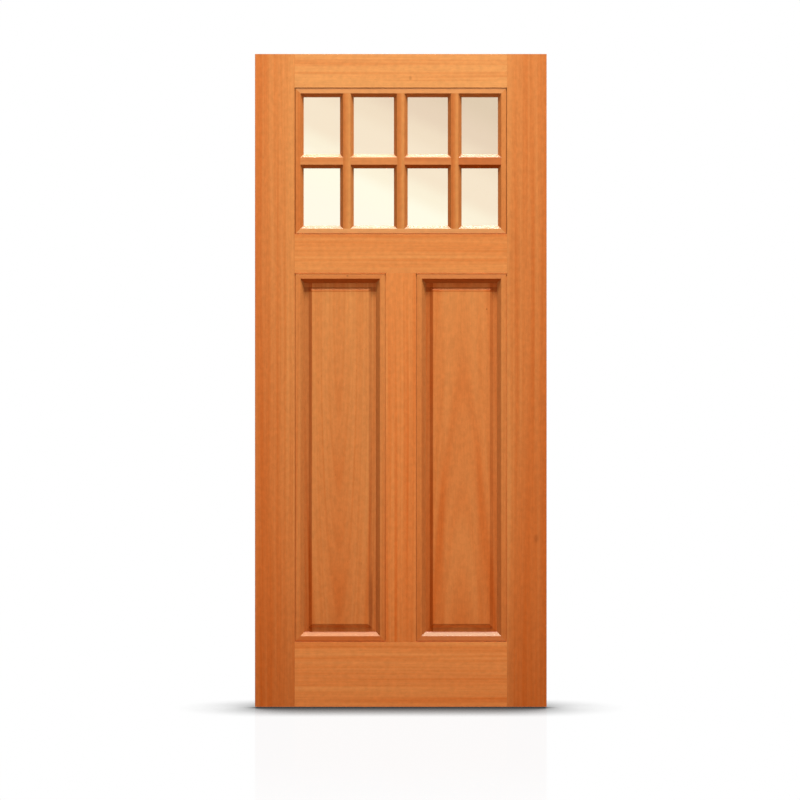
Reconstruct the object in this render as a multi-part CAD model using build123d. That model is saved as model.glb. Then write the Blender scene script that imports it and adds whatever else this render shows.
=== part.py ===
from build123d import *
import os

# Front door slab of solid wood: two stiles, three rails and a centre mullion frame a light of
# eight small panes over two tall raised panels. Millimetres, +Z up. X runs from the hinge edge
# across the slab, the front face looks along -Y, and the origin is at the foot of the hinge
# edge, midway through the thickness.

# Slab: the standard 36 x 80 inch size, trimmed to 35 3/4 inches wide to hang, 1 3/4 inches thick
DOOR_WIDTH = 908.05
DOOR_HEIGHT = 2032.0
DOOR_THICKNESS = 44.45
EDGE_ROUND = 1.5

# Frame members, as widths seen on the face
STILE_WIDTH = 123.4
TOP_RAIL_HEIGHT = 104.5
MIDDLE_RAIL_HEIGHT = 120.0
BOTTOM_RAIL_HEIGHT = 202.0
MULLION_WIDTH = 93.8
LIGHT_HEIGHT = 457.0

# Joints of the frame: blind tenons in mortises, and one groove that holds the panels
GROOVE_WIDTH = 12.7
GROOVE_DEPTH = 12.0
TENON_THICKNESS = 12.7
TENON_LENGTH = 65.0
TENON_SHOULDER = 22.0
MULLION_TENON_LENGTH = 38.0
JOINT_CLEARANCE = 0.15
MORTISE_END_GAP = 2.0

# Mitred moulding round every opening: a quirk, a flat and a slope. Round the light the slope ends
# in a lip in front of the glass, and round a panel it runs on down to the panel's face.
MOULDING_FLAT = 18.0
SLOPE_WIDTH = 9.8
SLOPE_DROP = 11.0
MOULDING_SETBACK = 1.2
MOULDING_LIP = 0.5
QUIRK_WIDTH = 2.5
QUIRK_DEPTH = 1.8
ARRIS_ROUND = 1.0

# Bars between the panes
UPRIGHT_COUNT = 3
UPRIGHT_SPACING = 168.0
BAR_FLAT = 23.2

# Bevelled panes
GLASS_THICKNESS = 6.35
GLASS_EDGE_THICKNESS = 5.0
GLASS_BEVEL_WIDTH = 17.5
GLASS_COVER = 8.0
GLASS_EDGE_GAP = 1.5
GLAZING_CLEARANCE = 0.2

# Raised and fielded panels, alike on both faces
PANEL_THICKNESS = 25.4
PANEL_TONGUE_CLEARANCE = 0.25
PANEL_EXPANSION_GAP = 3.0
BEVEL_START = 1.2
BEVEL_WIDTH = 11.8
BEVEL_RISE = 1.0
FIELD_STEP_WIDTH = 10.2
FIELD_CREST_WIDTH = 3.0

# Levels that follow from the sizes above, measured out from the middle of the thickness
FACE = DOOR_THICKNESS / 2
FLAT = FACE - MOULDING_SETBACK
SIGHT = FLAT - SLOPE_DROP
GLASS_BACK = GLASS_THICKNESS / 2
BEVEL_SLOPE = (GLASS_THICKNESS - GLASS_EDGE_THICKNESS) / GLASS_BEVEL_WIDTH
GLASS_FRONT_SEAT = GLASS_EDGE_THICKNESS - GLASS_BACK + GLASS_COVER * BEVEL_SLOPE + GLAZING_CLEARANCE
REBATE_START = MOULDING_FLAT + SLOPE_WIDTH - GLASS_COVER - GLASS_EDGE_GAP
PANEL_SEAT = GROOVE_WIDTH / 2
PANEL_SIGHT = PANEL_SEAT + MOULDING_LIP

# Openings as (left, right, bottom, top)
MIDDLE_X = DOOR_WIDTH / 2
LIGHT_TOP = DOOR_HEIGHT - TOP_RAIL_HEIGHT
LIGHT_BOTTOM = LIGHT_TOP - LIGHT_HEIGHT
PANEL_TOP = LIGHT_BOTTOM - MIDDLE_RAIL_HEIGHT
INNER_LEFT = STILE_WIDTH
INNER_RIGHT = DOOR_WIDTH - STILE_WIDTH
LIGHT = (INNER_LEFT, INNER_RIGHT, LIGHT_BOTTOM, LIGHT_TOP)
LEFT_PANEL = (INNER_LEFT, MIDDLE_X - MULLION_WIDTH / 2, BOTTOM_RAIL_HEIGHT, PANEL_TOP)
RIGHT_PANEL = (MIDDLE_X + MULLION_WIDTH / 2, INNER_RIGHT, BOTTOM_RAIL_HEIGHT, PANEL_TOP)

# Centre lines of the bars
UPRIGHT_CENTRES = [
    MIDDLE_X + (i - (UPRIGHT_COUNT - 1) / 2) * UPRIGHT_SPACING for i in range(UPRIGHT_COUNT)
]
CROSSBAR_CENTRE = (LIGHT_BOTTOM + LIGHT_TOP) / 2


def block(left, right, bottom, top, half_depth):
    """A block between two X and two Z, as deep each way from the middle of the thickness."""
    centre = Pos((left + right) / 2, 0, (bottom + top) / 2)
    return centre * Box(right - left, 2 * half_depth, top - bottom)


def inset(opening, distance):
    """The opening drawn in on all four sides, or grown where the distance is negative."""
    left, right, bottom, top = opening
    return (left + distance, right - distance, bottom + distance, top - distance)


# Stiles, rails and mullion


def tenon_span(bottom, top):
    """Heights between which a rail's tenon runs."""
    return bottom + TENON_SHOULDER, top - TENON_SHOULDER


RAIL_SPANS = {
    "top_rail": (LIGHT_TOP, DOOR_HEIGHT),
    "middle_rail": (PANEL_TOP, LIGHT_BOTTOM),
    "bottom_rail": (0.0, BOTTOM_RAIL_HEIGHT),
}


def panel_groove(opening):
    """The ring ploughed round a panel's opening, as one block that its neighbours are cut by."""
    return block(*inset(opening, -GROOVE_DEPTH), GROOVE_WIDTH / 2)


def left_stile():
    """Hinge-side stile: eased outer arrises, three blind mortises and the panel groove."""
    stile = block(0, STILE_WIDTH, 0, DOOR_HEIGHT, FACE)
    outer_arrises = stile.edges().filter_by(Axis.Z).group_by(Axis.X)[0]
    stile = fillet(outer_arrises, EDGE_ROUND) - panel_groove(LEFT_PANEL)
    mortise_floor = INNER_LEFT - TENON_LENGTH - MORTISE_END_GAP
    mortise_half = TENON_THICKNESS / 2 + JOINT_CLEARANCE
    for span in RAIL_SPANS.values():
        low, high = tenon_span(*span)
        stile -= block(
            mortise_floor, INNER_LEFT, low - JOINT_CLEARANCE, high + JOINT_CLEARANCE, mortise_half
        )
    return stile


def right_stile():
    """Lock-side stile, the mirror image of the hinge-side one."""
    return mirror(left_stile(), about=Plane.YZ.offset(MIDDLE_X))


def rail(name):
    """A rail between the stiles, with a blind tenon at each end."""
    bottom, top = RAIL_SPANS[name]
    low, high = tenon_span(bottom, top)
    body = block(INNER_LEFT, INNER_RIGHT, bottom, top, FACE)
    return body + block(
        INNER_LEFT - TENON_LENGTH, INNER_RIGHT + TENON_LENGTH, low, high, TENON_THICKNESS / 2
    )


def mullion_mortise(bottom, top):
    """Space for one of the mullion's tenons, between two heights."""
    return block(
        LEFT_PANEL[1] + TENON_SHOULDER - JOINT_CLEARANCE,
        RIGHT_PANEL[0] - TENON_SHOULDER + JOINT_CLEARANCE,
        bottom,
        top,
        TENON_THICKNESS / 2 + JOINT_CLEARANCE,
    )


def panel_grooves():
    """Grooves round both panels, for the members that border the two."""
    return [panel_groove(LEFT_PANEL), panel_groove(RIGHT_PANEL)]


def middle_rail():
    """Rail under the light, grooved below for the panels and mortised for the mullion."""
    mortise_top = PANEL_TOP + MULLION_TENON_LENGTH + MORTISE_END_GAP
    return rail("middle_rail") - panel_grooves() - mullion_mortise(PANEL_TOP, mortise_top)


def bottom_rail():
    """Deep rail at the foot, grooved above for the panels and mortised for the mullion."""
    mortise_floor = BOTTOM_RAIL_HEIGHT - MULLION_TENON_LENGTH - MORTISE_END_GAP
    return rail("bottom_rail") - panel_grooves() - mullion_mortise(mortise_floor, BOTTOM_RAIL_HEIGHT)


def center_mullion():
    """Upright between the panels, grooved on both edges, with a tenon at each end."""
    body = block(LEFT_PANEL[1], RIGHT_PANEL[0], BOTTOM_RAIL_HEIGHT, PANEL_TOP, FACE)
    tenons = block(
        LEFT_PANEL[1] + TENON_SHOULDER,
        RIGHT_PANEL[0] - TENON_SHOULDER,
        BOTTOM_RAIL_HEIGHT - MULLION_TENON_LENGTH,
        PANEL_TOP + MULLION_TENON_LENGTH,
        TENON_THICKNESS / 2,
    )
    return body - panel_grooves() + tenons


def moulding_width(foot_level):
    """Width of the moulding where its slope ends at the given level."""
    return MOULDING_FLAT + (FLAT - foot_level) * SLOPE_WIDTH / SLOPE_DROP


# Raised panels


def stepped_block(opening, sections):
    """Solid that runs towards the front through rectangles, each given as (inset, level)."""
    left, right, bottom, top = opening
    rectangles = []
    for distance, level in sections:
        plane = Plane(
            origin=((left + right) / 2, -level, (bottom + top) / 2), x_dir=(1, 0, 0), z_dir=(0, -1, 0)
        )
        rectangles.append(plane * Rectangle(right - left - 2 * distance, top - bottom - 2 * distance))
    return loft(rectangles, ruled=True)


def raised_panel(opening):
    """Floating panel: a tongue in the groove, a low bevel, a steeper step and a flat field."""
    tongue_half = GROOVE_WIDTH / 2 - PANEL_TONGUE_CLEARANCE
    field = PANEL_THICKNESS / 2
    bevel_foot = moulding_width(PANEL_SIGHT) + BEVEL_START
    bevel_head = bevel_foot + BEVEL_WIDTH
    step_level = tongue_half + BEVEL_RISE
    field_edge = bevel_head + FIELD_STEP_WIDTH
    crest_half = FIELD_CREST_WIDTH / 2
    crest_level = field - (field - step_level) * crest_half / FIELD_STEP_WIDTH
    tongue = block(*inset(opening, PANEL_EXPANSION_GAP - GROOVE_DEPTH), tongue_half)
    sections = [
        (bevel_foot, 0),
        (bevel_foot, tongue_half),
        (bevel_head, step_level),
        (field_edge - crest_half, crest_level),
        (field_edge + crest_half, field),
    ]
    front = stepped_block(opening, sections)
    return tongue + front + mirror(front, about=Plane.XZ)


# Mouldings, bars and beads


def profile_face(points, rounded, radius):
    """Face in the XY plane from its corners, with the corners at the listed places rounded."""
    face = make_face(Polyline(*points, close=True))
    corners = [min(face.vertices(), key=lambda v: (Vector(*v) - Vector(*points[i])).length) for i in rounded]
    return fillet(corners, radius)


def moulding_profile(back_level, foot_level):
    """Section of the moulding: X runs in from the opening's edge, Y out towards the face."""
    width = moulding_width(foot_level)
    outline = [
        (0, back_level),
        (0, FLAT - QUIRK_DEPTH),
        (QUIRK_WIDTH, FLAT - QUIRK_DEPTH),
        (QUIRK_WIDTH, FLAT),
        (MOULDING_FLAT, FLAT),
        (width, foot_level),
        (width, back_level),
    ]
    return profile_face(outline, rounded=[3, 4], radius=ARRIS_ROUND)


def light_moulding_profile(seat):
    """Moulding for the light: it reaches the middle plane and is rebated for the panes."""
    cover = moulding_width(SIGHT) - REBATE_START
    rebate = Pos(REBATE_START + cover / 2, seat / 2) * Rectangle(cover, seat)
    return moulding_profile(0, SIGHT) - rebate


def bead_profile():
    """Glazing bead behind a pane: it continues the bar's flat as a slope down to the sight line."""
    return make_face(
        Polyline((0, GLASS_BACK), (0, FLAT), (SLOPE_WIDTH, SIGHT), (SLOPE_WIDTH, GLASS_BACK), close=True)
    )


def bar_profile():
    """Section of a bar: moulded cap in front of the panes and a web through to the back face."""
    cap_half = BAR_FLAT / 2 + SLOPE_WIDTH
    outline = [
        (-BAR_FLAT / 2, FLAT),
        (BAR_FLAT / 2, FLAT),
        (cap_half, SIGHT),
        (cap_half, GLASS_FRONT_SEAT),
        (BAR_FLAT / 2, GLASS_FRONT_SEAT),
        (BAR_FLAT / 2, -FLAT),
        (-BAR_FLAT / 2, -FLAT),
        (-BAR_FLAT / 2, GLASS_FRONT_SEAT),
        (-cap_half, GLASS_FRONT_SEAT),
        (-cap_half, SIGHT),
    ]
    return profile_face(outline, rounded=[0, 1], radius=ARRIS_ROUND)


def mitred_stick(profile, length):
    """The profile run along Z, with both ends mitred so that the inner edge is the shorter."""
    stick = extrude(profile, length)
    stick = split(stick, Plane(origin=(0, 0, 0), z_dir=(-1, 0, 1)), keep=Keep.TOP)
    return split(stick, Plane(origin=(0, 0, length), z_dir=(-1, 0, -1)), keep=Keep.TOP)


def front_side_planes(opening):
    """For each side of an opening, the plane that turns an upright stick to it, and its length."""
    left, right, bottom, top = opening
    width, height = right - left, top - bottom
    return {
        "left": (Plane(origin=(left, 0, top), x_dir=(1, 0, 0), z_dir=(0, 0, -1)), height),
        "right": (Plane(origin=(right, 0, bottom), x_dir=(-1, 0, 0), z_dir=(0, 0, 1)), height),
        "top": (Plane(origin=(right, 0, top), x_dir=(0, 0, -1), z_dir=(-1, 0, 0)), width),
        "bottom": (Plane(origin=(left, 0, bottom), x_dir=(0, 0, 1), z_dir=(1, 0, 0)), width),
    }


def sticks(profile, opening, sides, face):
    """Mitred sticks on the named sides of an opening, on the front or the back face."""
    planes = front_side_planes(opening)
    placed = [plane * mitred_stick(profile, length) for plane, length in (planes[s] for s in sides)]
    if face == "back":
        placed = [mirror(stick, about=Plane.XZ) for stick in placed]
    return placed


UPRIGHT_SIDES = ("left", "right")
LEVEL_SIDES = ("top", "bottom")


def light_mouldings():
    """The four sticks on each face that frame the light, by face and direction."""
    seats = {"front": GLASS_FRONT_SEAT, "back": GLASS_BACK}
    made = {}
    for face, seat in seats.items():
        profile = light_moulding_profile(seat)
        made[face, "sides"] = sticks(profile, LIGHT, UPRIGHT_SIDES, face)
        made[face, "ends"] = sticks(profile, LIGHT, LEVEL_SIDES, face)
    return made


def panel_mouldings(opening):
    """The four sticks on each face that frame a panel, by face and direction."""
    profile = moulding_profile(PANEL_SEAT, PANEL_SIGHT)
    return {
        (face, name): sticks(profile, opening, sides, face)
        for face in ("front", "back")
        for name, sides in (("sides", UPRIGHT_SIDES), ("ends", LEVEL_SIDES))
    }


def upright_bars(mouldings):
    """Bars that run the height of the light, coped over its mouldings at both ends."""
    low, high = LIGHT_BOTTOM + MOULDING_FLAT, LIGHT_TOP - MOULDING_FLAT
    stock = extrude(bar_profile(), high - low)
    bars = []
    for centre in UPRIGHT_CENTRES:
        plane = Plane(origin=(centre, 0, low), x_dir=(-1, 0, 0), z_dir=(0, 0, 1))
        bars.append(plane * stock - mouldings)
    return bars


def column_edges():
    """Left and right arris of each column of panes, from moulding to bar to moulding."""
    half = BAR_FLAT / 2
    lefts = [INNER_LEFT + MOULDING_FLAT] + [c + half for c in UPRIGHT_CENTRES]
    rights = [c - half for c in UPRIGHT_CENTRES] + [INNER_RIGHT - MOULDING_FLAT]
    return list(zip(lefts, rights))


def row_edges():
    """Bottom and top arris of the lower and the upper row of panes."""
    half = BAR_FLAT / 2
    return {
        "lower": (LIGHT_BOTTOM + MOULDING_FLAT, CROSSBAR_CENTRE - half),
        "upper": (CROSSBAR_CENTRE + half, LIGHT_TOP - MOULDING_FLAT),
    }


def crossbars(mouldings, uprights):
    """Short level bars between the uprights, one a column, coped over what they meet."""
    bars = []
    for left, right in column_edges():
        plane = Plane(origin=(left, 0, CROSSBAR_CENTRE), x_dir=(0, 0, 1), z_dir=(1, 0, 0))
        bars.append(plane * extrude(bar_profile(), right - left) - mouldings - uprights)
    return bars


def glazing_beads(mouldings):
    """Mitred beads behind the panes, along the bars only, by the direction they run in."""
    beads = {"uprights": [], "levels": []}
    last = len(column_edges()) - 1
    for column, (left, right) in enumerate(column_edges()):
        upright_sides = [s for s, bar in (("left", column > 0), ("right", column < last)) if bar]
        for row, (bottom, top) in row_edges().items():
            cell = (left, right, bottom, top)
            level_side = "top" if row == "lower" else "bottom"
            beads["uprights"] += sticks(bead_profile(), cell, upright_sides, "back")
            beads["levels"] += sticks(bead_profile(), cell, [level_side], "back")
    return {name: [bead - mouldings for bead in group] for name, group in beads.items()}


def glass_pane(cell):
    """Pane bevelled round its front edge, lying against the beads behind it."""
    outline = inset(cell, SLOPE_WIDTH - GLASS_COVER)
    edge_front = GLASS_EDGE_THICKNESS - GLASS_BACK
    return stepped_block(
        outline, [(0, -GLASS_BACK), (0, edge_front), (GLASS_BEVEL_WIDTH, GLASS_BACK)]
    )


def front_door():
    """Every piece of the slab, as a list of solids under the name of its node."""
    parts = {
        "left_stile": [left_stile()],
        "right_stile": [right_stile()],
        "top_rail": [rail("top_rail")],
        "middle_rail": [middle_rail()],
        "bottom_rail": [bottom_rail()],
        "center_mullion": [center_mullion()],
    }
    for name, opening in (("left_panel", LEFT_PANEL), ("right_panel", RIGHT_PANEL)):
        parts[name] = [raised_panel(opening)]
        for (face, direction), made in panel_mouldings(opening).items():
            parts[f"{name}_moulding_{face}_{direction}"] = made
    light = light_mouldings()
    for (face, direction), made in light.items():
        parts[f"light_moulding_{face}_{direction}"] = made
    mouldings = [stick for made in light.values() for stick in made]
    uprights = upright_bars(mouldings)
    for number, bar in enumerate(uprights, start=1):
        parts[f"upright_bar_{number}"] = [bar]
    for number, bar in enumerate(crossbars(mouldings, uprights), start=1):
        parts[f"crossbar_{number}"] = [bar]
    for direction, beads in glazing_beads(mouldings).items():
        parts[f"glazing_beads_{direction}"] = beads
    for column, (left, right) in enumerate(column_edges(), start=1):
        for row, (bottom, top) in row_edges().items():
            parts[f"glass_{row}_{column}"] = [glass_pane((left, right, bottom, top))]
    return parts


os.makedirs("parts", exist_ok=True)
for node, pieces in front_door().items():
    solids = [solid for piece in pieces for solid in piece.solids()]
    shape = solids[0] if len(solids) == 1 else Compound(children=solids)
    export_step(shape, f"parts/{node}.step")
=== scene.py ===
"""Looks for a front door slab of varnished fir with a light of bevelled panes.

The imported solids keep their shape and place. This file eases their arrises, gives every board
a grain, a tone and a varnish of its own, glazes the panes, and sets up the studio round them.
"""
import logging
import math
import random
from dataclasses import dataclass
from enum import Enum
from typing import Any, Mapping, Optional, Sequence

import bpy
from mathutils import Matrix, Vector


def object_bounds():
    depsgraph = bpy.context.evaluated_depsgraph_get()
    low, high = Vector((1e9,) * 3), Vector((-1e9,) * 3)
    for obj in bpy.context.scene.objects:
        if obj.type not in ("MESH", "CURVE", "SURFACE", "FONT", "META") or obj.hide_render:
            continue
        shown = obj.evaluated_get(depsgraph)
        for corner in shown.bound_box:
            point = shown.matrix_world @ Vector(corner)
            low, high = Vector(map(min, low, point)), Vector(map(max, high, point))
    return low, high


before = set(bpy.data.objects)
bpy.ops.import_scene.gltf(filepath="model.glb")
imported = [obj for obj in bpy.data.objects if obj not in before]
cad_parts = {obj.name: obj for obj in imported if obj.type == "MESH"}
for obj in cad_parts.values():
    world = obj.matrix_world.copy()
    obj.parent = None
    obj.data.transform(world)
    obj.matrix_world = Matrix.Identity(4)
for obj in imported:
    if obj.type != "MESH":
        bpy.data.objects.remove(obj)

CAD_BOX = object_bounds()
LOG = logging.getLogger("door")
MM = 0.001

Colour = tuple[float, float, float, float]
Point = tuple[float, float, float]
Span = tuple[float, float]

# Corners closer than this are one corner; arrises sharper than the first angle are eased, and
# faces that meet at more than the second one are shaded apart
WELD_MM = 0.01
EASED_ANGLE = math.radians(25)
CRISP_ANGLE = math.radians(15)

# Rays by which a thing is seen: straight, in a reflection or through glass
SEEING_RAYS = ("Is Camera Ray", "Is Glossy Ray", "Is Transmission Ray")

# Blender's noise seldom leaves this range, so its swing is measured from here
NOISE_RANGE: Span = (0.2, 0.8)


def linear(hex_colour: str, alpha: float = 1.0) -> Colour:
    """Turns an sRGB hex colour to the linear values that Blender's sockets take.

    Args:
        hex_colour: Six hex digits after a hash, such as "#E0905A".
        alpha: Opacity to put after the three channels.

    Returns:
        Red, green, blue and alpha, linear.
    """
    digits = hex_colour.lstrip("#")
    channels = [int(digits[i : i + 2], 16) / 255 for i in (0, 2, 4)]
    red, green, blue = (
        c / 12.92 if c <= 0.04045 else ((c + 0.055) / 1.055) ** 2.4 for c in channels
    )
    return (red, green, blue, alpha)


def add_node(
    tree: bpy.types.NodeTree,
    kind: str,
    inputs: Optional[Mapping[Any, Any]] = None,
    ramp: Optional[Sequence[tuple[float, Any]]] = None,
    **settings: Any,
) -> bpy.types.Node:
    """Adds one node to a tree, with its settings, its values and its links.

    Args:
        tree: The node tree that gets the node.
        kind: Blender's identifier of the node type.
        inputs: Socket name or number to a value, or to the node or output socket that feeds it.
        ramp: Stops of a colour ramp, as position and grey level or colour.
        settings: Properties of the node itself, such as its operation.

    Returns:
        The new node.
    """
    node = tree.nodes.new(kind)
    for key, value in settings.items():
        setattr(node, key, value)
    if ramp:
        node.color_ramp.interpolation = "EASE"
        elements = node.color_ramp.elements
        while len(elements) < len(ramp):
            elements.new(1.0)
        for element, (position, level) in zip(elements, ramp):
            element.position = position
            element.color = level if isinstance(level, tuple) else (level, level, level, 1.0)
    for key, value in (inputs or {}).items():
        if isinstance(value, bpy.types.Node):
            tree.links.new(value.outputs[0], node.inputs[key])
        elif isinstance(value, bpy.types.NodeSocket):
            tree.links.new(value, node.inputs[key])
        else:
            node.inputs[key].default_value = value
    return node


def new_material(name: str) -> tuple[bpy.types.Material, bpy.types.NodeTree, bpy.types.Node]:
    """Makes an empty node material.

    Args:
        name: Name of the material.

    Returns:
        The material, its node tree and its output node.
    """
    material = bpy.data.materials.new(name)
    material.use_nodes = True
    tree = material.node_tree
    tree.nodes.clear()
    return material, tree, add_node(tree, "ShaderNodeOutputMaterial")


def any_ray(tree: bpy.types.NodeTree, kinds: Sequence[str]) -> bpy.types.NodeSocket:
    """Adds a factor that is 1 for rays of some kinds and 0 for all others.

    Args:
        tree: The node tree.
        kinds: Names of the light path's outputs.

    Returns:
        The socket that gives the factor.
    """
    path = add_node(tree, "ShaderNodeLightPath")
    factor = path.outputs[kinds[0]]
    for kind in kinds[1:]:
        factor = add_node(
            tree, "ShaderNodeMath", {0: factor, 1: path.outputs[kind]}, operation="MAXIMUM"
        ).outputs[0]
    return factor


def extent(node: str, axis: str) -> Span:
    """Reads how far a CAD node reaches along one axis.

    Args:
        node: Name of the node.
        axis: "X", "Y" or "Z".

    Returns:
        Its lowest and its highest place, in millimetres.
    """
    index = "XYZ".index(axis)
    places = [vertex.co[index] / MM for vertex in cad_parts[node].data.vertices]
    return min(places), max(places)


def opening_extent(opening: str, axis: str) -> Span:
    """Reads how far an opening of the slab reaches, from the mouldings that line it.

    Args:
        opening: Name of the opening.
        axis: "X" or "Z".

    Returns:
        Its lowest and its highest place, in millimetres.
    """
    return extent(f"{opening}_moulding_front_sides", axis)


class Grain(Enum):
    """Which way a board's fibres run in the slab: the order of across, through and along."""

    UPRIGHT = (0, 1, 2)
    LEVEL = (2, 1, 0)


@dataclass(frozen=True)
class AcrossTone:
    """How a board's tone runs from one edge to the other, in streaks that follow the fibres.

    Stops are pairs of a place between the two edges, 0 to 1, and a share of the gain, 0 to 1.
    The gain is what a share of 1 adds to the pale wood, at the foot and at the head.
    """

    from_mm: float
    to_mm: float
    stops: tuple[tuple[float, float], ...]
    gain: Span
    gain_span_mm: Span = (60.0, 700.0)


@dataclass(frozen=True)
class NoiseLayer:
    """One noise that runs through the wood: what it rides on, and its size in millimetres.

    It rides either on the place in the board or on the rings round the pith, and its three
    sizes run across, through and along the board.
    """

    name: str
    source: str
    wave_mm: Point
    detail: float


@dataclass(frozen=True)
class PaintedShadingStrip:
    """A strip along X or Z with painted light and shade on a bevel, a step, a slope or a groove.

    The tone multiplies the wood's colour, and the pale share is added to the board's own.
    """

    axis: str
    low_mm: float
    high_mm: float
    tone: float
    pale: float = 0.0


@dataclass(frozen=True)
class ResinMark:
    """One small dark mark in the wood, left by resin or a pin knot."""

    x_mm: float
    z_mm: float
    half_width_mm: float
    half_height_mm: float
    strength: float = 0.5


@dataclass(frozen=True)
class Board:
    """How one board lies in its log, and its tone against its neighbours.

    Lengths are in millimetres, in the slab's own frame. The pith is the middle of the log: far
    off beside the board the rings cross its face as straight lines, and close behind the face
    they make tall arches. The share of pale wood is given at the two ends of a height span; over
    the slab's height it is partly painted light, paler where more light falls. Slopes that are
    cut out of the board's face get a painted shade, and slopes that face up a painted shade of
    their own; for slopes that face down, painted light and shade set how much lighter and
    redder they are drawn. Gloss multiplies the varnish's reflection.
    """

    grain: Grain
    pale: Span = (0.3, 0.6)
    span_mm: Span = (0.0, CAD_BOX[1][2] / MM)
    tone: float = 1.0
    pith_mm: Span = (-500.0, 90.0)
    pith_lean: float = 0.0
    figure: float = 1.0
    # Painted shade and light by how a face lies: on cut slopes, on slopes facing up and down
    slope_shade: float = 1.0
    lit_slope_shade: float = 1.0
    under_shading: float = 1.0
    under_shade_pale: float = -0.4
    gloss: float = 1.0
    across: tuple[AcrossTone, ...] = ()
    edges: tuple[PaintedShadingStrip, ...] = ()
    marks: tuple[ResinMark, ...] = ()
    seed: int = 1


@dataclass(frozen=True)
class BoardNodes:
    """The shader nodes that every part of one board's finish draws on."""

    tree: bpy.types.NodeTree
    in_mm: bpy.types.Node
    slab: bpy.types.Node
    facing: bpy.types.Node
    underside: bpy.types.Node
    noise: dict[str, bpy.types.Node]
    strips: list[tuple[PaintedShadingStrip, bpy.types.Node]]


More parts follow.
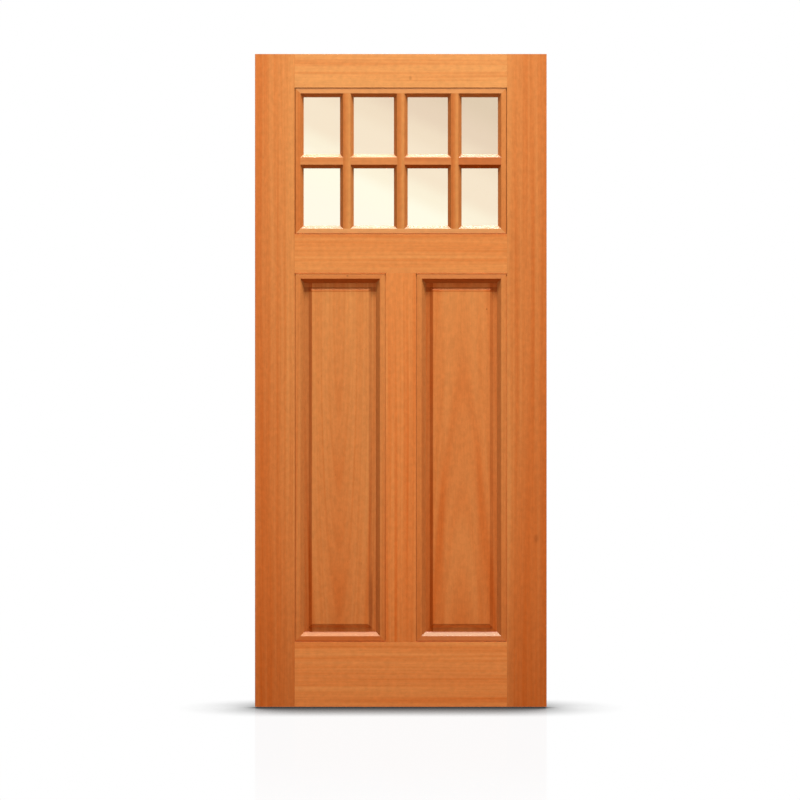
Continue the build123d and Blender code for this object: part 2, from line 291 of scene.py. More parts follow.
@dataclass(frozen=True)
class VarnishedFir:
    """Clear fir, planed and sanded with the grain, under two coats of satin varnish.

    The eye gets a warm orange wood with fine straight lines, broad streaks that run from deep
    red heartwood to pale sapwood, short resin flecks, and a soft sheen that shows most where a
    slope faces the light overhead. Its colour also holds painted light and shade: it is drawn
    darker or lighter by how a face lies to the light, near the floor and in narrow strips.
    """

    heartwood: str = "#C95C17"
    sapwood: str = "#E39C59"
    resin: str = "#7C3814"
    # Real rings are 1 to 3 mm apart; they are drawn wider so that they show at this distance
    streak_mm: float = 19.0
    ring_mm: float = 8.0
    fibre_mm: float = 1.6
    drift_mm: float = 5.0
    streak_gain: float = 0.78
    ring_gain: float = 0.56
    fibre_gain: float = 0.08
    ripple_gain: float = 0.07
    # Resin flecks fill the peaks of their noise; a mark is fully dark in its core
    fleck_range: Span = (0.66, 0.76)
    fleck_strength: float = 0.3
    mark_core: float = 0.3
    noise_shift: float = 40.0
    noise_roughness: float = 0.55
    # Painted shade makes the wood a little darker near the floor; end grain drinks the varnish
    foot_shade: float = 0.92
    foot_mm: Span = (40.0, 500.0)
    end_grain_tone: float = 0.62
    # Parts of a surface's normal at which it starts and ends to count as flat, lit and so on
    flat_range: Span = (0.93, 0.98)
    end_range: Span = (0.8, 0.98)
    lit_range: Span = (0.4, 0.6)
    under_range: Span = (-0.2, -0.5)
    strip_blur_mm: float = 0.5
    ior: float = 1.5
    roughness: float = 0.40
    roughness_swing: float = 0.04
    specular: float = 0.08
    under_specular: float = 0.016
    relief_mm: float = 0.1
    relief_strength: float = 0.3

    def material(self, name: str, board: Board) -> bpy.types.Material:
        """Makes the finish for one board.

        Args:
            name: Name of the material.
            board: The board's place in its log and its tone.

        Returns:
            The material.
        """
        material, tree, output = new_material(name)
        nodes = self.board_nodes(tree, board)
        colour = add_node(
            tree,
            "ShaderNodeVectorMath",
            {0: self.wood(nodes, board).outputs[2], "Scale": self.shade(nodes, board).outputs[0]},
            operation="SCALE",
        )
        # A fuller coat of varnish is glossier and levels out the fibres
        relief = add_node(
            tree,
            "ShaderNodeBump",
            {
                "Strength": self.relief_strength / board.gloss,
                "Distance": self.relief_mm * MM,
                "Height": nodes.noise["fibre"],
            },
        )
        sheen = add_node(
            tree,
            "ShaderNodeMapRange",
            {
                0: nodes.noise["fibre"],
                1: NOISE_RANGE[0],
                2: NOISE_RANGE[1],
                3: self.roughness - self.roughness_swing,
                4: self.roughness + self.roughness_swing,
            },
        )
        # Painted shade: slopes that face down are given less reflection, so that they stay dark
        shine = add_node(
            tree,
            "ShaderNodeMapRange",
            {
                0: nodes.underside,
                1: 0.0,
                2: 1.0,
                3: self.specular * board.gloss,
                4: self.under_specular,
            },
        )
        shader = add_node(
            tree,
            "ShaderNodeBsdfPrincipled",
            {
                "Base Color": colour,
                "Roughness": sheen,
                "IOR": self.ior,
                "Specular IOR Level": shine,
                "Normal": relief,
            },
        )
        tree.links.new(shader.outputs[0], output.inputs["Surface"])
        return material

    def board_nodes(self, tree: bpy.types.NodeTree, board: Board) -> BoardNodes:
        """Adds the nodes for a board's place, its normal, its noises and its strips.

        Args:
            tree: The material's node tree.
            board: The board.

        Returns:
            The nodes.
        """
        place = add_node(tree, "ShaderNodeTexCoord")
        in_mm = add_node(
            tree,
            "ShaderNodeVectorMath",
            {0: place.outputs["Object"], "Scale": 1 / MM},
            operation="SCALE",
        )
        slab = add_node(tree, "ShaderNodeSeparateXYZ", {0: in_mm})
        facing = add_node(tree, "ShaderNodeSeparateXYZ", {0: place.outputs["Normal"]})
        level, under = self.under_range
        underside = add_node(
            tree,
            "ShaderNodeMapRange",
            {0: facing.outputs["Z"], 1: level, 2: under, 3: 0.0, 4: 1.0},
            interpolation_type="SMOOTHSTEP",
        )
        noise = self.noises(tree, slab, board)
        strips = [(edge, self.strip(tree, slab, edge)) for edge in board.edges]
        return BoardNodes(tree, in_mm, slab, facing, underside, noise, strips)

    def noises(
        self, tree: bpy.types.NodeTree, slab: bpy.types.Node, board: Board
    ) -> dict[str, bpy.types.Node]:
        """Adds a board's noises: rings round the pith, with a slow drift, and what lies on them.

        Args:
            tree: The material's node tree.
            slab: The place in the slab, as three sockets in millimetres.
            board: The board.

        Returns:
            Each noise by the name of its layer.
        """
        rng = random.Random(board.seed)
        across, through, along = (slab.outputs[axis] for axis in board.grain.value)
        turned = add_node(tree, "ShaderNodeCombineXYZ", {0: across, 1: through, 2: along})
        # The pith leans from the board's own line
        deep = add_node(
            tree,
            "ShaderNodeMath",
            {0: along, 1: board.pith_lean, 2: through},
            operation="MULTIPLY_ADD",
        )
        beside = add_node(tree, "ShaderNodeCombineXYZ", {0: across, 1: deep})
        radius = add_node(
            tree,
            "ShaderNodeVectorMath",
            {0: beside, 1: (*board.pith_mm, 0.0)},
            operation="DISTANCE",
        )
        sources = {"turned": turned}
        noise = {}
        for layer in self.layers():
            if layer.source == "rings" and "rings" not in sources:
                drifted = add_node(
                    tree,
                    "ShaderNodeMath",
                    {0: noise["drift"], 1: 2 * self.drift_mm, 2: radius.outputs["Value"]},
                    operation="MULTIPLY_ADD",
                )
                sources["rings"] = add_node(tree, "ShaderNodeCombineXYZ", {0: drifted, 2: along})
            stretched = add_node(
                tree,
                "ShaderNodeMapping",
                {
                    "Vector": sources[layer.source],
                    "Location": tuple(
                        rng.uniform(-self.noise_shift, self.noise_shift) for _ in range(3)
                    ),
                    "Scale": tuple(1 / wave for wave in layer.wave_mm),
                },
            )
            noise[layer.name] = add_node(
                tree,
                "ShaderNodeTexNoise",
                {
                    "Vector": stretched,
                    "Scale": 1.0,
                    "Detail": layer.detail,
                    "Roughness": self.noise_roughness,
                },
            )
        return noise

    def strip(
        self, tree: bpy.types.NodeTree, slab: bpy.types.Node, edge: PaintedShadingStrip
    ) -> bpy.types.Node:
        """Adds the mask of one strip, which is 1 inside it.

        Args:
            tree: The material's node tree.
            slab: The place in the slab, as three sockets in millimetres.
            edge: The strip.

        Returns:
            The node that gives the mask.
        """
        middle_mm = (edge.low_mm + edge.high_mm) / 2
        half_mm = (edge.high_mm - edge.low_mm) / 2
        outer_mm, inner_mm = half_mm + self.strip_blur_mm, half_mm - self.strip_blur_mm
        offset = add_node(
            tree, "ShaderNodeMath", {0: slab.outputs[edge.axis], 1: middle_mm}, operation="SUBTRACT"
        )
        distance = add_node(tree, "ShaderNodeMath", {0: offset}, operation="ABSOLUTE")
        return add_node(
            tree,
            "ShaderNodeMapRange",
            {0: distance, 1: outer_mm, 2: inner_mm, 3: 0.0, 4: 1.0},
            interpolation_type="SMOOTHSTEP",
        )

    def pale_share(self, nodes: BoardNodes, board: Board) -> bpy.types.Node:
        """Adds the share of pale sapwood: set by height, with streaks and rings across it, and
        painted light and shade on undersides and strips.

        Args:
            nodes: The board's common nodes.
            board: The board.

        Returns:
            The node that gives the share.
        """
        tree = nodes.tree
        height = nodes.slab.outputs["Z"]
        gains = {"streak": self.streak_gain * board.figure, "ring": self.ring_gain * board.figure}
        middle = sum(gains.values()) / 2
        # Over the slab's height this is partly painted light: the wood is paler where more light
        # falls
        pale = add_node(
            tree,
            "ShaderNodeMapRange",
            {
                0: height,
                1: board.span_mm[0],
                2: board.span_mm[1],
                3: board.pale[0] - middle,
                4: board.pale[1] - middle,
            },
        )
        added = [(nodes.noise[layer], gain) for layer, gain in gains.items()]
        for band in board.across:
            side = add_node(
                tree,
                "ShaderNodeMapRange",
                {0: nodes.slab.outputs["X"], 1: band.from_mm, 2: band.to_mm, 3: 0.0, 4: 1.0},
            )
            share = add_node(tree, "ShaderNodeValToRGB", {0: side}, ramp=band.stops)
            gain = add_node(
                tree,
                "ShaderNodeMapRange",
                {
                    0: height,
                    1: band.gain_span_mm[0],
                    2: band.gain_span_mm[1],
                    3: band.gain[0],
                    4: band.gain[1],
                },
            )
            added.append((share, gain))
        # Painted light and shade: undersides are drawn redder, and the strips shift the share too
        added.append((nodes.underside, board.under_shade_pale))
        added += [(inside, edge.pale) for edge, inside in nodes.strips]
        for source, gain in added:
            pale = add_node(
                tree, "ShaderNodeMath", {0: source, 1: gain, 2: pale}, operation="MULTIPLY_ADD"
            )
        return pale

    def wood(self, nodes: BoardNodes, board: Board) -> bpy.types.Node:
        """Adds the wood's own colour, with resin in short flecks and in the board's own marks.

        Args:
            nodes: The board's common nodes.
            board: The board.

        Returns:
            The mix node that gives the colour.
        """
        tree = nodes.tree
        clear = add_node(
            tree,
            "ShaderNodeMix",
            {0: self.pale_share(nodes, board), 6: linear(self.heartwood), 7: linear(self.sapwood)},
            data_type="RGBA",
        )
        resin = add_node(
            tree,
            "ShaderNodeMapRange",
            {
                0: nodes.noise["fleck"],
                1: self.fleck_range[0],
                2: self.fleck_range[1],
                3: 0.0,
                4: self.fleck_strength,
            },
            interpolation_type="SMOOTHSTEP",
        )
        for mark in board.marks:
            across, up = 1 / mark.half_width_mm, 1 / mark.half_height_mm
            spot = add_node(
                tree,
                "ShaderNodeMapping",
                {
                    "Vector": nodes.in_mm,
                    "Location": (-mark.x_mm * across, 0.0, -mark.z_mm * up),
                    "Scale": (across, 0.0, up),
                },
            )
            near = add_node(tree, "ShaderNodeVectorMath", {0: spot}, operation="LENGTH")
            dark = add_node(
                tree,
                "ShaderNodeMapRange",
                {0: near.outputs["Value"], 1: 1.0, 2: self.mark_core, 3: 0.0, 4: mark.strength},
                interpolation_type="SMOOTHSTEP",
            )
            resin = add_node(tree, "ShaderNodeMath", {0: resin, 1: dark}, operation="MAXIMUM")
        return add_node(
            tree,
            "ShaderNodeMix",
            {0: resin, 6: clear.outputs[2], 7: linear(self.resin)},
            data_type="RGBA",
        )

    def shade(self, nodes: BoardNodes, board: Board) -> bpy.types.Node:
        """Adds how light the finish is: the board's tone and fibres, and painted light and shade by
        how its faces lie, near the floor and in its strips.

        Args:
            nodes: The board's common nodes.
            board: The board.

        Returns:
            The node that gives the factor.
        """
        tree, facing = nodes.tree, nodes.facing
        shade = add_node(
            tree,
            "ShaderNodeMapRange",
            {
                0: nodes.noise["fibre"],
                1: NOISE_RANGE[0],
                2: NOISE_RANGE[1],
                3: (1.0 - self.fibre_gain) * board.tone,
                4: (1.0 + self.fibre_gain) * board.tone,
            },
        )
        squareness = add_node(
            tree, "ShaderNodeMath", {0: facing.outputs["Y"]}, operation="ABSOLUTE"
        )
        end_face = add_node(
            tree, "ShaderNodeMath", {0: facing.outputs[board.grain.value[2]]}, operation="ABSOLUTE"
        )
        # Past the ripple and the end grain, these factors are painted light and shade
        factors = [
            (nodes.noise["ripple"], NOISE_RANGE, 1.0 - self.ripple_gain, 1.0 + self.ripple_gain),
            (nodes.slab.outputs["Z"], self.foot_mm, self.foot_shade, 1.0),
            (end_face, self.end_range, 1.0, self.end_grain_tone),
            (squareness, self.flat_range, board.slope_shade, 1.0),
            (facing.outputs["Z"], self.lit_range, 1.0, board.lit_slope_shade),
            (nodes.underside, (0.0, 1.0), 1.0, board.under_shading),
        ]
        factors += [(inside, (0.0, 1.0), 1.0, edge.tone) for edge, inside in nodes.strips]
        for source, (low, high), low_tone, high_tone in factors:
            factor = add_node(
                tree,
                "ShaderNodeMapRange",
                {0: source, 1: low, 2: high, 3: low_tone, 4: high_tone},
                interpolation_type="SMOOTHSTEP",
            )
            shade = add_node(tree, "ShaderNodeMath", {0: shade, 1: factor}, operation="MULTIPLY")
        return shade

    def layers(self) -> tuple[NoiseLayer, ...]:
        """Noises that the wood is mixed from; the drift bends the rings, so it comes first."""
        return (
            NoiseLayer("drift", "turned", (150.0, 150.0, 1100.0), 1.0),
            NoiseLayer("streak", "rings", (self.streak_mm, 60.0, 1900.0), 1.5),
            NoiseLayer("ring", "rings", (self.ring_mm, 60.0, 700.0), 1.0),
            NoiseLayer("fibre", "turned", (self.fibre_mm, self.fibre_mm, 40.0), 3.0),
            NoiseLayer("fleck", "turned", (1.6, 1.6, 14.0), 2.0),
            NoiseLayer("ripple", "turned", (13.0, 13.0, 18.0), 3.0),
        )


@dataclass(frozen=True)
class BevelledGlass:
    """Clear float glass, ground to a bevel round its front edge and polished.

    The eye gets a clean pane that the backdrop shows through, with a narrow band round it
    that bends the light, and light that passes to the floor without a hard shadow.
    """

    tint: str = "#FBFDFA"
    ior: float = 1.52
    roughness: float = 0.0

    def material(self, name: str) -> bpy.types.Material:
        """Makes the glass.

        Args:
            name: Name of the material.

        Returns:
            The material.
        """
        material, tree, output = new_material(name)
        glass = add_node(
            tree,
            "ShaderNodeBsdfPrincipled",
            {
                "Base Color": linear(self.tint),
                "Roughness": self.roughness,
                "IOR": self.ior,
                "Transmission Weight": 1.0,
            },
        )
        clear = add_node(tree, "ShaderNodeBsdfTransparent", {0: linear(self.tint)})
        mixed = add_node(
            tree,
            "ShaderNodeMixShader",
            {
                0: any_ray(tree, ("Is Shadow Ray", "Is Diffuse Ray")),
                1: glass.outputs[0],
                2: clear.outputs[0],
            },
        )
        tree.links.new(mixed.outputs[0], output.inputs["Surface"])
        return material


def dress(node: str, material: bpy.types.Material) -> bpy.types.Object:
    """Puts a finish on a CAD node.

    Args:
        node: Name of the node.
        material: The finish.

    Returns:
        The node's object.
    """
    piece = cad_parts[node]
    piece.data.materials.clear()
    piece.data.materials.append(material)
    return piece


def ease(piece: bpy.types.Object, width_mm: float, segments: int = 2) -> None:
    """Eases a piece's sharp arrises, as sandpaper does before varnish.

    Corners that lie on one another are welded first, so that the bevel finds whole edges. The
    flat faces are split from the round arrises at the end, so that both keep an even shading.

    Args:
        piece: The piece.
        width_mm: Width of the eased arris, in millimetres.
        segments: Facets round each arris.
    """
    weld = piece.modifiers.new("weld", "WELD")
    weld.merge_threshold = WELD_MM * MM
    bevel = piece.modifiers.new("ease", "BEVEL")
    bevel.width = width_mm * MM
    bevel.segments = segments
    bevel.limit_method = "ANGLE"
    bevel.angle_limit = EASED_ANGLE
    crisp = piece.modifiers.new("crisp", "EDGE_SPLIT")
    crisp.split_angle = CRISP_ANGLE


@dataclass
class SlabFrame:
    """Stiles, rails and the centre mullion."""

    arris_mm: float = 0.5
    stile_gain: Span = (0.14, 0.38)
    stile_stops: tuple[tuple[float, float], ...] = (
        (0.0, 0.0), (0.33, 0.05), (0.43, 0.32), (0.51, 0.3), (0.58, 0.16),
        (0.67, 0.52), (0.77, 0.36), (0.86, 0.6), (0.94, 0.85), (1.0, 1.0),
    )

    def boards(self) -> dict[str, Board]:
        """How each member was cut. The stiles are redder at their outer edges. The rails are drawn
        lighter than the stiles, a painted sheen of level grain under the light from above.

        Returns:
            The boards, by node.
        """
        left_mm = extent("left_stile", "X")
        right_mm = extent("right_stile", "X")
        return {
            "left_stile": Board(
                Grain.UPRIGHT,
                pale=(0.235, 0.475),
                tone=0.935,
                pith_mm=(-420.0, 60.0),
                figure=0.75,
                across=(AcrossTone(left_mm[0], left_mm[1], self.stile_stops, self.stile_gain),),
                seed=11,
            ),
            "right_stile": Board(
                Grain.UPRIGHT,
                pale=(0.18, 0.445),
                tone=0.915,
                pith_mm=(1373.0, 60.0),
                figure=0.6,
                across=(AcrossTone(right_mm[1], right_mm[0], self.stile_stops, self.stile_gain),),
                marks=(ResinMark(875.0, 525.0, 10.0, 17.0, 0.28),),
                seed=23,
            ),
            "center_mullion": Board(
                Grain.UPRIGHT,
                pale=(0.29, 0.83),
                tone=1.055,
                pith_mm=(90.0, 50.0),
                figure=0.85,
                seed=31,
            ),
            # The rails' tones and pale wood carry a painted sheen of level grain under light from
            # above
            "top_rail": Board(
                Grain.LEVEL,
                pale=(1.0, 0.85),
                span_mm=extent("top_rail", "Z"),
                tone=0.95,
                gloss=2.0,
                pith_mm=(1500.0, 50.0),
                figure=1.5,
                marks=(ResinMark(484.0, 1957.0, 6.0, 9.0, 0.3),),
                seed=41,
            ),
            "middle_rail": Board(
                Grain.LEVEL,
                pale=(0.743, 0.543),
                span_mm=extent("middle_rail", "Z"),
                tone=1.01,
                pith_mm=(900.0, 60.0),
                figure=1.05,
                seed=53,
            ),
            "bottom_rail": Board(
                Grain.LEVEL, pale=(0.53, 0.53), tone=1.13, pith_mm=(-260.0, 70.0), seed=61
            ),
        }

    def dress(self, finish: VarnishedFir) -> None:
        """Gives every member its own board.

        Args:
            finish: The varnished wood.
        """
        for node, board in self.boards().items():
            piece = dress(node, finish.material(f"varnished_fir_{node}", board))
            ease(piece, self.arris_mm)
            LOG.info("%s: %s grain", node, board.grain.name.lower())


@dataclass
class RaisedPanels:
    """The two raised and fielded panels: a dark middle line in one, a pale middle in the other."""

    arris_mm: float = 0.4
    # Painted shade on the panels' cut slopes; painted light and redness on slopes that face down
    slope_shade: float = 0.92
    under_shadings: tuple[float, float] = (1.3, 1.5)
    under_shade_pale: float = -0.05
    # From the opening's side, or its head, to where the bevel, the step and the crest start
    side_steps_mm: Point = (31.0, 43.0, 53.5)
    head_steps_mm: Point = (31.0, 43.5, 58.3)
    left_field_mm: Span = (177.5, 345.5)
    left_stops: tuple[tuple[float, float], ...] = (
        (0.0, 0.7), (0.12, 0.95), (0.36, 0.8), (0.45, 0.15), (0.5, 0.0),
        (0.56, 0.3), (0.66, 0.9), (0.8, 1.0), (1.0, 0.8),
    )
    right_field_mm: Span = (554.0, 730.0)
    right_stops: tuple[tuple[float, float], ...] = (
        (0.0, 0.3), (0.16, 0.0), (0.24, 0.9), (0.5, 0.7), (0.74, 1.0),
        (0.83, 0.2), (0.92, 0.5), (1.0, 0.1),
    )

    def edges(self, opening: str) -> tuple[PaintedShadingStrip, ...]:
        """Painted shade and light on a panel's bevel and step at its sides and head, by how they
        face the light.

        Args:
            opening: Name of the panel's opening.

        Returns:
            The strips, from the left to the right and then the head.
        """
        left_mm, right_mm = opening_extent(opening, "X")
        head_mm = opening_extent(opening, "Z")[1]
        bevel, step, crest = self.side_steps_mm
        head_bevel, head_step, head_crest = self.head_steps_mm
        return (
            PaintedShadingStrip("X", left_mm + bevel, left_mm + step, 0.84, -0.15),
            PaintedShadingStrip("X", left_mm + step, left_mm + crest, 0.8, -0.35),
            PaintedShadingStrip("X", right_mm - crest, right_mm - step, 0.88, -0.1),
            PaintedShadingStrip("X", right_mm - step, right_mm - bevel, 0.9, -0.05),
            PaintedShadingStrip("Z", head_mm - head_crest, head_mm - head_step, 0.88, -0.3),
            PaintedShadingStrip("Z", head_mm - head_step, head_mm - head_bevel, 1.14, -0.28),
        )

    def boards(self) -> dict[str, Board]:
        """How each panel was cut.

        Returns:
            The boards, by node.
        """
        return {
            "left_panel": Board(
                Grain.UPRIGHT,
                pale=(0.2, 0.85),
                tone=0.94,
                pith_mm=(261.5, 62.0),
                pith_lean=0.06,
                figure=0.85,
                slope_shade=self.slope_shade,
                under_shading=self.under_shadings[0],
                under_shade_pale=self.under_shade_pale,
                across=(AcrossTone(*self.left_field_mm, self.left_stops, (0.13, 0.1)),),
                edges=self.edges("left_panel"),
                marks=(ResinMark(360.0, 325.0, 10.0, 140.0, 0.35),),
                seed=71,
            ),
            "right_panel": Board(
                Grain.UPRIGHT,
                pale=(0.21, 0.83),
                tone=0.965,
                pith_mm=(645.0, 120.0),
                pith_lean=-0.03,
                figure=0.9,
                slope_shade=self.slope_shade,
                under_shading=self.under_shadings[1],
                under_shade_pale=self.under_shade_pale,
                across=(AcrossTone(*self.right_field_mm, self.right_stops, (0.13, 0.13)),),
                edges=self.edges("right_panel"),
                marks=(ResinMark(721.5, 1238.0, 3.5, 4.5, 0.4),),
                seed=83,
            ),
        }

    def dress(self, finish: VarnishedFir) -> None:
        """Gives each panel its own board.

        Args:
            finish: The varnished wood.
        """
        for node, board in self.boards().items():
            piece = dress(node, finish.material(f"varnished_fir_{node}", board))
            ease(piece, self.arris_mm)
            LOG.info("%s: arched grain", node)


@dataclass(frozen=True)
class Opening:
    """One opening of the slab and the finish of the mouldings round it.

    The sill is the slope that faces up at the bottom, with the tone and the share of pale wood
    of its painted highlight. The quirk is the groove beside the slab's frame; the tones of its
    painted light and shade run left, right, top: the top is lightened against the shadow that
    the frame's edge casts into it.
    """

    name: str
    tone: float
    pale_sides: Span
    pale_ends: Span
    end_gloss: float
    sill: tuple[float, float]
    quirk_shading: tuple[float, float, float]
    marks: tuple[ResinMark, ...] = ()
    quirk_mm: float = 2.5
    slope_mm: Span = (18.0, 28.5)
    figure: float = 0.6
    # Painted shade on slopes cut from the face, and on slopes that face up
    slope_shade: float = 0.84
    lit_slope_shade: float = 0.56

    def board(self, grain: Grain, seed: int) -> Board:
        """How the sticks that run one way were cut.

        Args:
            grain: Which way the sticks run.
            seed: The board's own number.

        Returns:
            The board.
        """
        left_mm, right_mm = opening_extent(self.name, "X")
        bottom_mm, top_mm = opening_extent(self.name, "Z")
        # Painted light and shade in the quirks, and a painted highlight on the sill
        left_quirk_shading, right_quirk_shading, top_quirk_shading = self.quirk_shading
        if grain is Grain.UPRIGHT:
            return Board(
                grain,
                pale=self.pale_sides,
                tone=self.tone,
                figure=self.figure,
                slope_shade=self.slope_shade,
                edges=(
                    PaintedShadingStrip("X", left_mm, left_mm + self.quirk_mm, left_quirk_shading),
                    PaintedShadingStrip("X", right_mm - self.quirk_mm, right_mm, right_quirk_shading),
                ),
                seed=seed,
            )
        slope_foot, slope_head = self.slope_mm
        return Board(
            grain,
            pale=self.pale_ends,
            tone=self.tone,
            figure=self.figure,
            lit_slope_shade=self.lit_slope_shade,
            gloss=self.end_gloss,
            edges=(
                PaintedShadingStrip("Z", top_mm - self.quirk_mm, top_mm, top_quirk_shading, top_quirk_shading - 1.0),
                PaintedShadingStrip("Z", bottom_mm + slope_foot, bottom_mm + slope_head, *self.sill),
            ),
            marks=self.marks,
            seed=seed,
        )


@dataclass
class Mouldings:
    """Mitred mouldings round the light and the panels, on both faces."""

    arris_mm: float = 0.3
    first_seed: int = 101
    seed_step: int = 7
    openings: tuple[Opening, ...] = (
        Opening(
            "light",
            tone=0.9,
            pale_sides=(0.1, 0.62),
            pale_ends=(0.9, 0.9),
            end_gloss=5.8,
            sill=(0.85, 0.1),
            quirk_shading=(0.5, 0.55, 1.15),
        ),
        Opening(
            "left_panel",
            tone=0.92,
            pale_sides=(0.29, 0.84),
            pale_ends=(0.17, 0.72),
            end_gloss=2.5,
            sill=(1.12, 0.42),
            quirk_shading=(0.9, 1.15, 2.9),
            marks=(ResinMark(288.0, 1341.5, 5.0, 4.0, 0.5),),
        ),
        Opening(
            "right_panel",
            tone=0.92,
            pale_sides=(0.29, 0.84),
            pale_ends=(0.25, 0.8),
            end_gloss=3.7,
            sill=(0.9, 0.7),
            quirk_shading=(0.9, 1.15, 2.9),
        ),
    )

    def dress(self, finish: VarnishedFir) -> None:
        """Gives the upright and the level sticks of each opening their own boards.

        Args:
            finish: The varnished wood.
        """
        seed = self.first_seed
        for opening in self.openings:
            for face in ("front", "back"):
                for direction, grain in (("sides", Grain.UPRIGHT), ("ends", Grain.LEVEL)):
                    node = f"{opening.name}_moulding_{face}_{direction}"
                    board = opening.board(grain, seed)
                    piece = dress(node, finish.material(f"varnished_fir_{node}", board))
                    ease(piece, self.arris_mm, segments=1)
                    seed += self.seed_step
            LOG.info("mouldings of %s: sides and ends, front and back", opening.name)


@dataclass
class GlazedLight:
    """Bars, beads and bevelled panes of the light."""

    arris_mm: float = 0.3
    columns: int = 4
    figure: float = 0.6
    # Painted shade on the bars' slopes cut from the face
    slope_shade: float = 0.84
    upright_pale: Span = (0.6, 0.6)
    upright_tone: float = 0.855
    # Strips of painted light and shade beside an upright bar's middle line, and above a level bar's
    left_slope_mm: Span = (-24.0, -4.0)
    right_crown_mm: Span = (2.0, 11.0)
    upper_slope_mm: Span = (11.6, 22.0)
    # Tone and share of pale wood: the level bars turn redder towards the right
    level_tones: tuple[tuple[float, float], ...] = (
        (0.88, 0.64), (0.88, 0.67), (0.87, 0.53), (0.81, 0.3),
    )
    # Painted shade on the level bars' slopes that face up
    lit_slope_shade: float = 0.55
    level_gloss: float = 4.4
    bead_pale: Span = (0.4, 0.4)
    bead_tone: float = 0.94
    upright_seed: int = 200
    level_seed: int = 240
    bead_seed: int = 300
    seed_step: int = 9

    def upright(self, number: int) -> Board:
        """How an upright bar was cut. Its left slope has a darker, redder painted shade and its
        crown right of the middle a paler painted highlight, as the light comes from the right.

        Args:
            number: The bar's number, from the left.

        Returns:
            The board.
        """
        middle_mm = sum(extent(f"upright_bar_{number}", "X")) / 2
        slope_mm = [middle_mm + place for place in self.left_slope_mm]
        crown_mm = [middle_mm + place for place in self.right_crown_mm]
        return Board(
            Grain.UPRIGHT,
            pale=self.upright_pale,
            tone=self.upright_tone,
            figure=self.figure,
            slope_shade=self.slope_shade,
            edges=(PaintedShadingStrip("X", *slope_mm, 0.93, -0.12), PaintedShadingStrip("X", *crown_mm, 1.02, 0.25)),
            seed=self.upright_seed + self.seed_step * number,
        )

    def level(self, number: int, tone: float, pale: float) -> Board:
        """How a level bar was cut. Its upper slope, which faces the light, has a paler painted
        highlight.

        Args:
            number: The bar's number, from the left.
            tone: The bar's tone.
            pale: The bar's share of pale wood.

        Returns:
            The board.
        """
        middle_mm = sum(extent(f"crossbar_{number}", "Z")) / 2
        slope_mm = [middle_mm + place for place in self.upper_slope_mm]
        return Board(
            Grain.LEVEL,
            pale=(pale, pale),
            tone=tone,
            figure=self.figure,
            lit_slope_shade=self.lit_slope_shade,
            gloss=self.level_gloss,
            edges=(PaintedShadingStrip("Z", *slope_mm, 1.0, 0.4),),
            seed=self.level_seed + self.seed_step * number,
        )

    def wooden(self) -> dict[str, Board]:
        """How each bar and bead was cut.

        Returns:
            The boards, by node.
        """
        boards = {f"upright_bar_{n}": self.upright(n) for n in range(1, self.columns)}
        for number, (tone, pale) in enumerate(self.level_tones, start=1):
            boards[f"crossbar_{number}"] = self.level(number, tone, pale)
        beads = (("uprights", Grain.UPRIGHT), ("levels", Grain.LEVEL))
        for number, (name, grain) in enumerate(beads):
            boards[f"glazing_beads_{name}"] = Board(
                grain, pale=self.bead_pale, tone=self.bead_tone, seed=self.bead_seed + number
            )
        return boards

    def dress(self, wood: VarnishedFir, glass: BevelledGlass) -> None:
        """Dresses the bars and beads in wood and the panes in glass.

        Args:
            wood: The varnished wood.
            glass: The glass.
        """
        boards = self.wooden()
        for node, board in boards.items():
            piece = dress(node, wood.material(f"varnished_fir_{node}", board))
            ease(piece, self.arris_mm, segments=1)
        clear = glass.material("bevelled_float_glass")
        for row in ("upper", "lower"):
            for column in range(1, self.columns + 1):
                dress(f"glass_{row}_{column}", clear)
        LOG.info("light: %d wooden nodes, %d panes", len(boards), 2 * self.columns)


@dataclass(frozen=True)
class Softbox:
    """One rectangular lamp: its middle, its target and its size in metres, and its power."""

    name: str
    place: Point
    target: Point
    size: tuple[float, float]
    watts: float


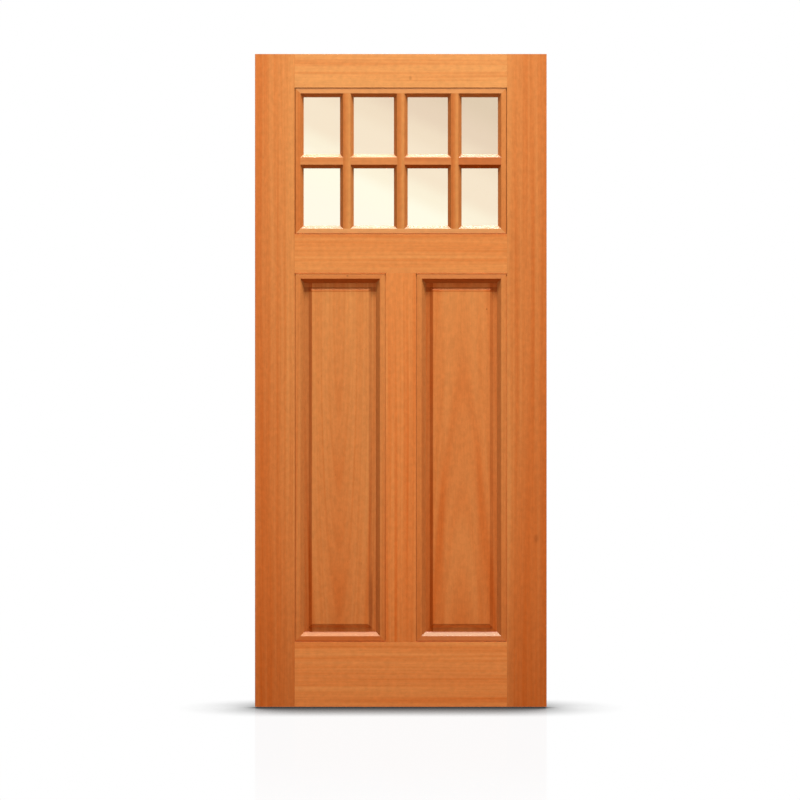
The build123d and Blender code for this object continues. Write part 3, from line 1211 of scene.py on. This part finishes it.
@dataclass
class Studio:
    """White studio: floor, softboxes, backdrop and the camera of the photograph, in metres."""

    centre_x: float = 0.4515
    camera_height: float = 0.955
    camera_distance: float = 9.0
    view_width: float = 2.490
    floor_gap: float = 0.005
    floor_size: float = 9.0
    floor_fade: Span = (1.2, 3.2)
    # The shade where the slab meets the floor: its reach, and the power that deepens it
    contact_reach: float = 0.25
    contact_power: float = 3.3
    mirror_share: float = 0.05
    mirror_roughness: float = 0.08
    floor_bounce: str = "#5E4A3C"
    # The backdrop's soft light under and over the horizon, which is a band of the ray's rise
    horizon: Span = (-0.35, 0.35)
    soft_below: float = 0.30
    soft_above: float = 0.66
    below_tint: str = "#FFDCC0"
    above_tint: str = "#FFF6EC"
    card_gap: float = 0.25
    card_middle: tuple[float, float] = (0.454, 1.699)
    card_size: tuple[float, float] = (1.6, 1.2)
    card_rise: float = 0.15
    # The card's colour runs this way over the span, in metres from its middle
    card_slope: Point = (0.428, 0.0, 0.904)
    card_span: Span = (-0.3, 0.33)
    card_glow: float = 1.06

    @staticmethod
    def card_stops() -> list[tuple[float, Colour]]:
        """Cream card behind the panes, from its pale lower left to its deeper upper right."""
        return [
            (0.12, linear("#FFF6E4")),
            (0.31, linear("#FFF8E3")),
            (0.40, linear("#FAEDD4")),
            (0.49, linear("#F4E0C6")),
            (0.58, linear("#F4E0C6")),
            (0.68, linear("#EFD9BE")),
            (0.78, linear("#E5CCB2")),
            (0.95, linear("#DCC4A8")),
        ]

    def build(self) -> None:
        """Builds the whole studio."""
        self.add_camera()
        self.add_lights()
        self.add_floor()
        self.add_card()
        self.light_world()
        bpy.context.scene.view_settings.view_transform = "Standard"

    def add_camera(self) -> None:
        """Sets the camera square to the front face, as the photograph was taken."""
        data = bpy.data.cameras.new("camera")
        front = CAD_BOX[0][1]
        data.angle = 2 * math.atan(self.view_width / 2 / self.camera_distance)
        camera = bpy.data.objects.new("camera", data)
        camera.location = (self.centre_x, front - self.camera_distance, self.camera_height)
        camera.rotation_euler = (math.radians(90), 0, 0)
        bpy.context.scene.collection.objects.link(camera)
        bpy.context.scene.camera = camera
        LOG.info("camera: %.2f m in front", self.camera_distance)

    def softboxes(self) -> tuple[Softbox, ...]:
        """A steep lamp in front, a strip straight overhead and a weaker lamp behind."""
        x = self.centre_x
        return (
            Softbox("key_softbox", (x + 0.7, -2.1, 9.0), (x, 0.0, 1.0), (1.7, 1.7), 1400.0),
            Softbox("overhead_strip", (x, 0.25, 3.05), (x, 0.25, 0.0), (1.6, 0.3), 22.0),
            Softbox("rear_softbox", (x, 2.2, 5.0), (x, 0.0, 0.9), (1.8, 1.2), 180.0),
        )

    def add_lights(self) -> None:
        """Adds every softbox, turned to its target."""
        for box in self.softboxes():
            data = bpy.data.lights.new(box.name, "AREA")
            data.shape = "RECTANGLE"
            data.size, data.size_y = box.size
            data.energy = box.watts
            lamp = bpy.data.objects.new(box.name, data)
            lamp.location = box.place
            aim = Vector(box.target) - Vector(box.place)
            lamp.rotation_euler = aim.to_track_quat("-Z", "Y").to_euler()
            bpy.context.scene.collection.objects.link(lamp)
            LOG.info("lamp %s: %.0f W", box.name, box.watts)

    def add_floor(self) -> None:
        """Adds the pale floor, which fades into the backdrop away from the slab."""
        half = self.floor_size / 2
        mesh = bpy.data.meshes.new("studio_floor")
        corners = [(-half, -half), (half, -half), (half, half), (-half, half)]
        mesh.from_pydata([(x, y, 0.0) for x, y in corners], [], [(0, 1, 2, 3)])
        floor = bpy.data.objects.new("studio_floor", mesh)
        floor.location = (self.centre_x, 0.0, -self.floor_gap)
        bpy.context.scene.collection.objects.link(floor)
        floor.data.materials.append(self.floor_material())

    def floor_material(self) -> bpy.types.Material:
        """Makes the painted floor: white with a contact shade to the eye, dull to the slab.

        Returns:
            The material.
        """
        material, tree, output = new_material("painted_studio_floor")
        place = add_node(tree, "ShaderNodeTexCoord")
        reach = add_node(
            tree, "ShaderNodeVectorMath", {0: place.outputs["Object"]}, operation="LENGTH"
        )
        fade = add_node(
            tree,
            "ShaderNodeMapRange",
            {
                0: reach.outputs["Value"],
                1: self.floor_fade[0],
                2: self.floor_fade[1],
                3: 0.0,
                4: 1.0,
            },
            interpolation_type="SMOOTHSTEP",
        )
        shade = add_node(
            tree,
            "ShaderNodeAmbientOcclusion",
            {"Color": (1, 1, 1, 1), "Distance": self.contact_reach},
            samples=16,
        )
        deep = add_node(
            tree,
            "ShaderNodeMath",
            {0: shade.outputs["AO"], 1: self.contact_power},
            operation="POWER",
        )
        glow = add_node(tree, "ShaderNodeEmission", {0: (1, 1, 1, 1), 1: deep.outputs[0]})
        mirror = add_node(
            tree, "ShaderNodeBsdfGlossy", {0: (1, 1, 1, 1), "Roughness": self.mirror_roughness}
        )
        seen = add_node(
            tree,
            "ShaderNodeMixShader",
            {0: self.mirror_share, 1: glow.outputs[0], 2: mirror.outputs[0]},
        )
        dull = add_node(tree, "ShaderNodeBsdfDiffuse", {0: linear(self.floor_bounce)})
        near = add_node(
            tree,
            "ShaderNodeMixShader",
            {0: any_ray(tree, SEEING_RAYS), 1: dull.outputs[0], 2: seen.outputs[0]},
        )
        clear = add_node(tree, "ShaderNodeBsdfTransparent")
        mixed = add_node(
            tree,
            "ShaderNodeMixShader",
            {0: fade.outputs[0], 1: near.outputs[0], 2: clear.outputs[0]},
        )
        tree.links.new(mixed.outputs[0], output.inputs["Surface"])
        return material

    def add_card(self) -> None:
        """Adds the cream card close behind the panes, which only rays through glass see."""
        width, height = self.card_size
        mesh = bpy.data.meshes.new("studio_card")
        corners = [(-width, -height), (width, -height), (width, height), (-width, height)]
        places = [(x / 2, 0.0, z / 2 + self.card_rise) for x, z in corners]
        mesh.from_pydata(places, [], [(0, 1, 2, 3)])
        card = bpy.data.objects.new("studio_card", mesh)
        card.location = (self.card_middle[0], self.card_gap, self.card_middle[1])
        bpy.context.scene.collection.objects.link(card)
        for ray in ("camera", "diffuse", "glossy", "shadow"):
            setattr(card, f"visible_{ray}", False)
        material, tree, output = new_material("cream_studio_card")
        place = add_node(tree, "ShaderNodeTexCoord")
        toward = add_node(
            tree,
            "ShaderNodeVectorMath",
            {0: place.outputs["Object"], 1: self.card_slope},
            operation="DOT_PRODUCT",
        )
        share = add_node(
            tree,
            "ShaderNodeMapRange",
            {
                0: toward.outputs["Value"],
                1: self.card_span[0],
                2: self.card_span[1],
                3: 0.0,
                4: 1.0,
            },
        )
        cream = add_node(tree, "ShaderNodeValToRGB", {0: share}, ramp=self.card_stops())
        glow = add_node(tree, "ShaderNodeEmission", {0: cream, 1: self.card_glow})
        tree.links.new(glow.outputs[0], output.inputs["Surface"])
        card.data.materials.append(material)

    def light_world(self) -> None:
        """Lights the slab softly, and shows the eye a plain white backdrop."""
        world = bpy.data.worlds.new("studio")
        bpy.context.scene.world = world
        world.use_nodes = True
        tree = world.node_tree
        tree.nodes.clear()
        output = add_node(tree, "ShaderNodeOutputWorld")
        place = add_node(tree, "ShaderNodeTexCoord")
        ray = add_node(tree, "ShaderNodeSeparateXYZ", {0: place.outputs["Generated"]})
        height = add_node(
            tree,
            "ShaderNodeMapRange",
            {0: ray.outputs["Z"], 1: self.horizon[0], 2: self.horizon[1], 3: 0.0, 4: 1.0},
            interpolation_type="SMOOTHSTEP",
        )
        level = add_node(
            tree,
            "ShaderNodeMapRange",
            {0: height, 1: 0.0, 2: 1.0, 3: self.soft_below, 4: self.soft_above},
        )
        # Light from below comes off a timber floor, so it is warm
        warmth = add_node(
            tree,
            "ShaderNodeMix",
            {0: height, 6: linear(self.below_tint), 7: linear(self.above_tint)},
            data_type="RGBA",
        )
        soft = add_node(tree, "ShaderNodeBackground", {0: warmth.outputs[2], 1: level})
        white = add_node(tree, "ShaderNodeBackground", {0: (1, 1, 1, 1), 1: 1.0})
        mixed = add_node(
            tree,
            "ShaderNodeMixShader",
            {0: any_ray(tree, SEEING_RAYS), 1: soft.outputs[0], 2: white.outputs[0]},
        )
        tree.links.new(mixed.outputs[0], output.inputs["Surface"])


def main() -> None:
    """Builds the studio and dresses the slab, piece by piece."""
    logging.basicConfig(level=logging.INFO, format="%(name)s %(message)s")
    wood = VarnishedFir()
    glass = BevelledGlass()
    Studio().build()
    SlabFrame().dress(wood)
    RaisedPanels().dress(wood)
    Mouldings().dress(wood)
    GlazedLight().dress(wood, glass)


if __name__ == "__main__":
    main()
